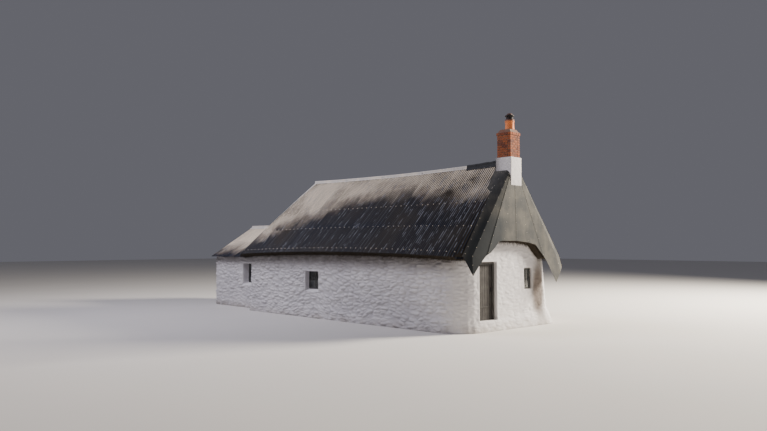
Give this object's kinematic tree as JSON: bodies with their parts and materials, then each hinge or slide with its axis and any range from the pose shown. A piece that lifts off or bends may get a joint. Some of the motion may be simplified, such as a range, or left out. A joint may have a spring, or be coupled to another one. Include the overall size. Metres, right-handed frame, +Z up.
{
  "type": "whitewashed cottage with corrugated iron laid over its thatch",
  "caption": "Low single-storey stone cottage with rounded corners, a sheeted thatch roof with a hood over the chimney gable, a plank door and an annex.",
  "frame": {"origin": "on the ground under the middle of the main house, on the underside of its floor", "axes": "+X towards the chimney gable along the ridge, +Y towards the back, +Z up"},
  "size_m": [13.8879, 5.24, 6.39],
  "materials": {
    "whitewash": "limewash over lumpy rubble, chalky and slightly stained",
    "flagstones": "worn stone flags",
    "old_wood": "bare weathered planks, grey-brown",
    "window_wood": "old dark paint",
    "window_glass": "old clear glass over a dark room",
    "thatch": "old dark straw",
    "roof_iron": "dark paint worn to pale metal on the crests",
    "hood_sheet": "dull grey-green weathered sheet",
    "ridge_sheet": "pale weathered ridge sheet",
    "lead": "dull dark lead",
    "black_iron": "black iron with a little rust",
    "brick": "orange-red brick with pale joints",
    "terracotta": "orange clay"
  },
  "bodies": {
    "cottage": {"front_wall": "whitewash", "back_wall": "whitewash", "left_end_wall": "whitewash", "corner_front_right": "whitewash", "corner_back_right": "whitewash", "gable_wall": "whitewash", "door_head_wall": "whitewash", "door_sill_wall": "whitewash", "floor_slab": "flagstones", "door_lintel": "whitewash", "door_frame": "old_wood", "door_pintle_bottom": "black_iron", "door_pintle_top": "black_iron", "front_window_frame": "window_wood", "front_window_pane": "window_glass", "gable_window_frame": "window_wood", "gable_window_pane": "window_glass", "back_window_frame": "window_wood", "back_window_pane": "window_glass", "annex_window_frame": "window_wood", "annex_window_pane": "window_glass", "thatch_front": "thatch", "thatch_back": "thatch", "thatch_left_hip": "thatch", "thatch_right_end": "thatch", "roof_iron_front": "roof_iron", "roof_iron_back": "roof_iron", "roof_iron_left_hip": "roof_iron", "hood_front": "hood_sheet", "hood_gable": "hood_sheet", "hood_back": "hood_sheet", "ridge_cap": "ridge_sheet", "ridge_flashing": "lead", "chimney_base": "whitewash", "chimney_stack": "brick", "chimney_cap": "brick", "chimney_pot": "terracotta", "chimney_cowl": "black_iron", "annex_front_wall": "whitewash", "annex_back_wall": "whitewash", "annex_end_wall": "whitewash", "annex_floor": "flagstones", "annex_roof_front": "roof_iron", "annex_roof_back": "roof_iron"},
    "door": {"door_leaf": "old_wood", "door_strap_bottom": "black_iron", "door_strap_top": "black_iron", "door_latch": "black_iron"}
  },
  "joints": [
    {"name": "door_hinge", "type": "hinge", "parent": "cottage", "child": "door", "pos_m": [4.915, -1.52, 1.13], "axis": [0, 0, 1], "range_deg": [0, 90]}
  ]
}
